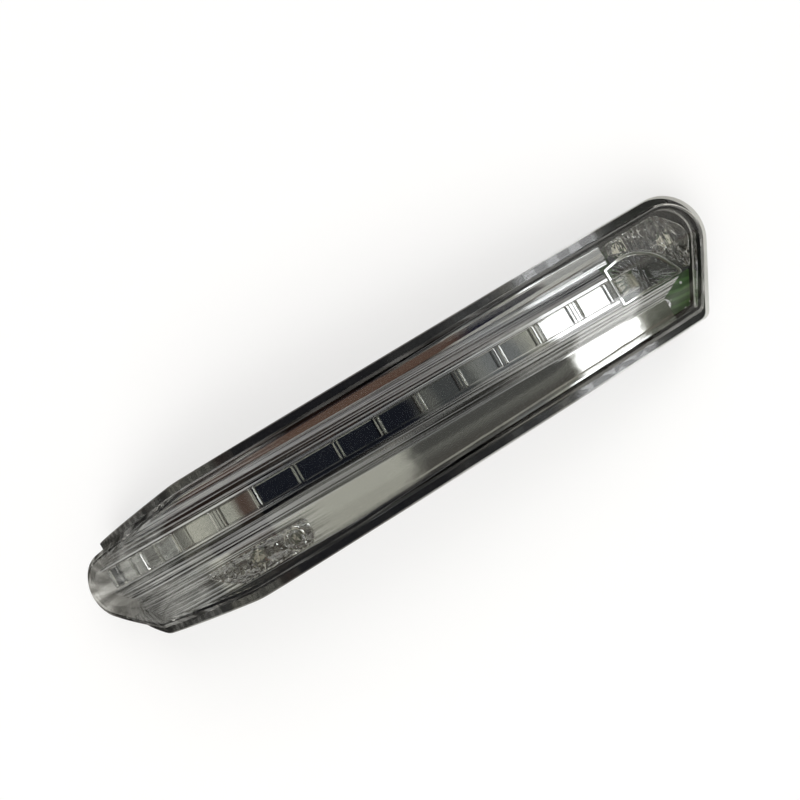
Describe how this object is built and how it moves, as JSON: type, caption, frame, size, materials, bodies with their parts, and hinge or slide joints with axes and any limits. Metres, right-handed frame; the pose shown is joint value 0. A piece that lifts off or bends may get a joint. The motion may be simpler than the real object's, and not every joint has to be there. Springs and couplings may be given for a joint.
{
  "type": "mirror turn signal lamp",
  "caption": "Curved door-mirror turn signal lamp with a clear domed lens wrapping round its nose, a chrome bezel and a barred light guide over a black housing with a socket.",
  "frame": {"origin": "centre of the bounding box, on the plane that the lamp rests on", "axes": "+X along the lamp from its wrapped nose to its square end, +Y across it towards the edge nearer the window bar, +Z out of the lens"},
  "size_m": [0.2, 0.0413, 0.0545],
  "materials": {
    "clear_lens": "gloss",
    "black_housing": "satin",
    "chrome_trim": "polished",
    "clear_guide": "gloss",
    "green_board": "satin",
    "led_case": "gloss",
    "black_case": "matte",
    "ceramic_case": "matte",
    "pin_metal": "polished",
    "flex_film": "satin",
    "screw_metal": "satin",
    "membrane_film": "matte"
  },
  "bodies": {
    "root": {"outer_lens": "clear_lens", "rear_housing": "black_housing", "chrome_reflector": "chrome_trim", "light_guide": "clear_guide", "nose_coupler": "clear_guide", "end_coupler": "clear_guide", "main_board": "green_board", "nose_board": "green_board", "led_1": "led_case", "led_2": "led_case", "led_3": "led_case", "led_4": "led_case", "led_5": "led_case", "driver_chip": "black_case", "resistor_1": "black_case", "resistor_2": "black_case", "resistor_3": "black_case", "resistor_4": "black_case", "capacitor_1": "ceramic_case", "capacitor_2": "ceramic_case", "diode": "black_case", "terminal_1": "pin_metal", "terminal_2": "pin_metal", "terminal_3": "pin_metal", "flex_link": "flex_film", "board_screw_1": "screw_metal", "board_screw_2": "screw_metal", "board_screw_3": "screw_metal", "vent_membrane": "membrane_film", "light_shield": "black_case"}
  },
  "joints": []
}
